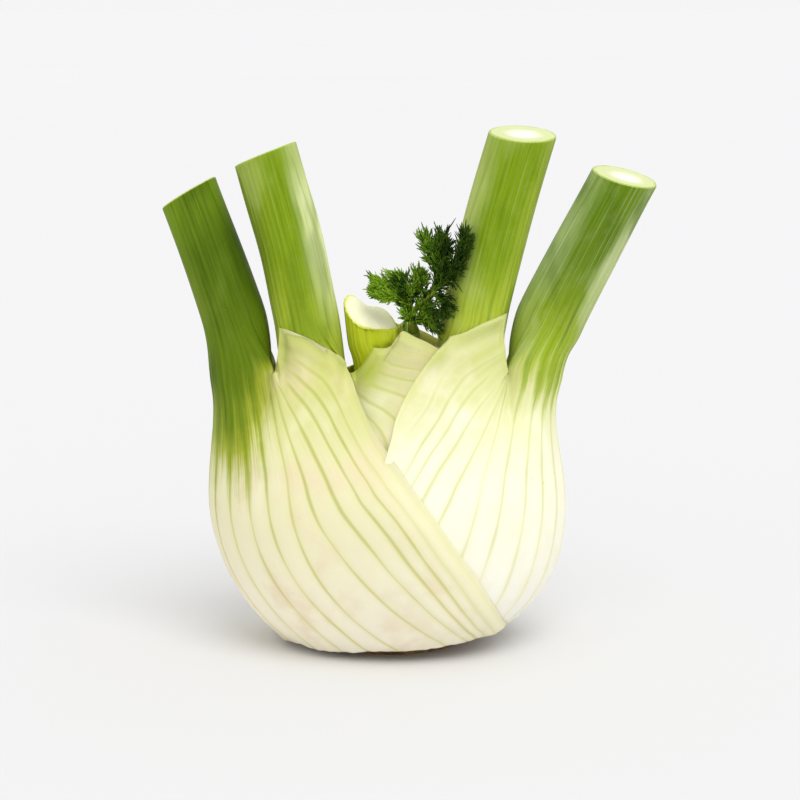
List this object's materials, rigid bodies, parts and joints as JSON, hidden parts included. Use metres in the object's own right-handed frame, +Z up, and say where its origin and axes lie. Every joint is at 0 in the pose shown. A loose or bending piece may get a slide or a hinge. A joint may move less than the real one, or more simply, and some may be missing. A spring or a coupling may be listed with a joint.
{
  "type": "fennel bulb",
  "caption": "Fresh fennel bulb with overlapping ribbed sheaths, trimmed stalks in a fan, a young feathery frond and a flat trimmed root end.",
  "frame": {"origin": "middle of the flat cut under the root plate, where the bulb stands", "axes": "+Z up, from the root plate to the stalks; X along the fan of stalks, which stand in one plane; -Y the front, where the left sheath lies over the right one; Y is the flattened way"},
  "size_m": [0.1364, 0.0788, 0.1449],
  "materials": {
    "outer_left_leaf": "satin, ribbed, cream below and green above",
    "outer_right_leaf": "satin, ribbed, cream below and green above",
    "inner_left_leaf": "satin, ribbed, light green",
    "inner_right_leaf": "satin, ribbed, light green",
    "centre_leaf": "moist cut face, pale green",
    "frond_sprig": "soft, fine, dark green",
    "root_plate": "corky, brown"
  },
  "bodies": {
    "root": {"outer_left_leaf": "outer_left_leaf", "outer_right_leaf": "outer_right_leaf", "inner_left_leaf": "inner_left_leaf", "inner_right_leaf": "inner_right_leaf", "centre_leaf": "centre_leaf", "frond_sprig": "frond_sprig", "root_plate": "root_plate"}
  },
  "joints": []
}
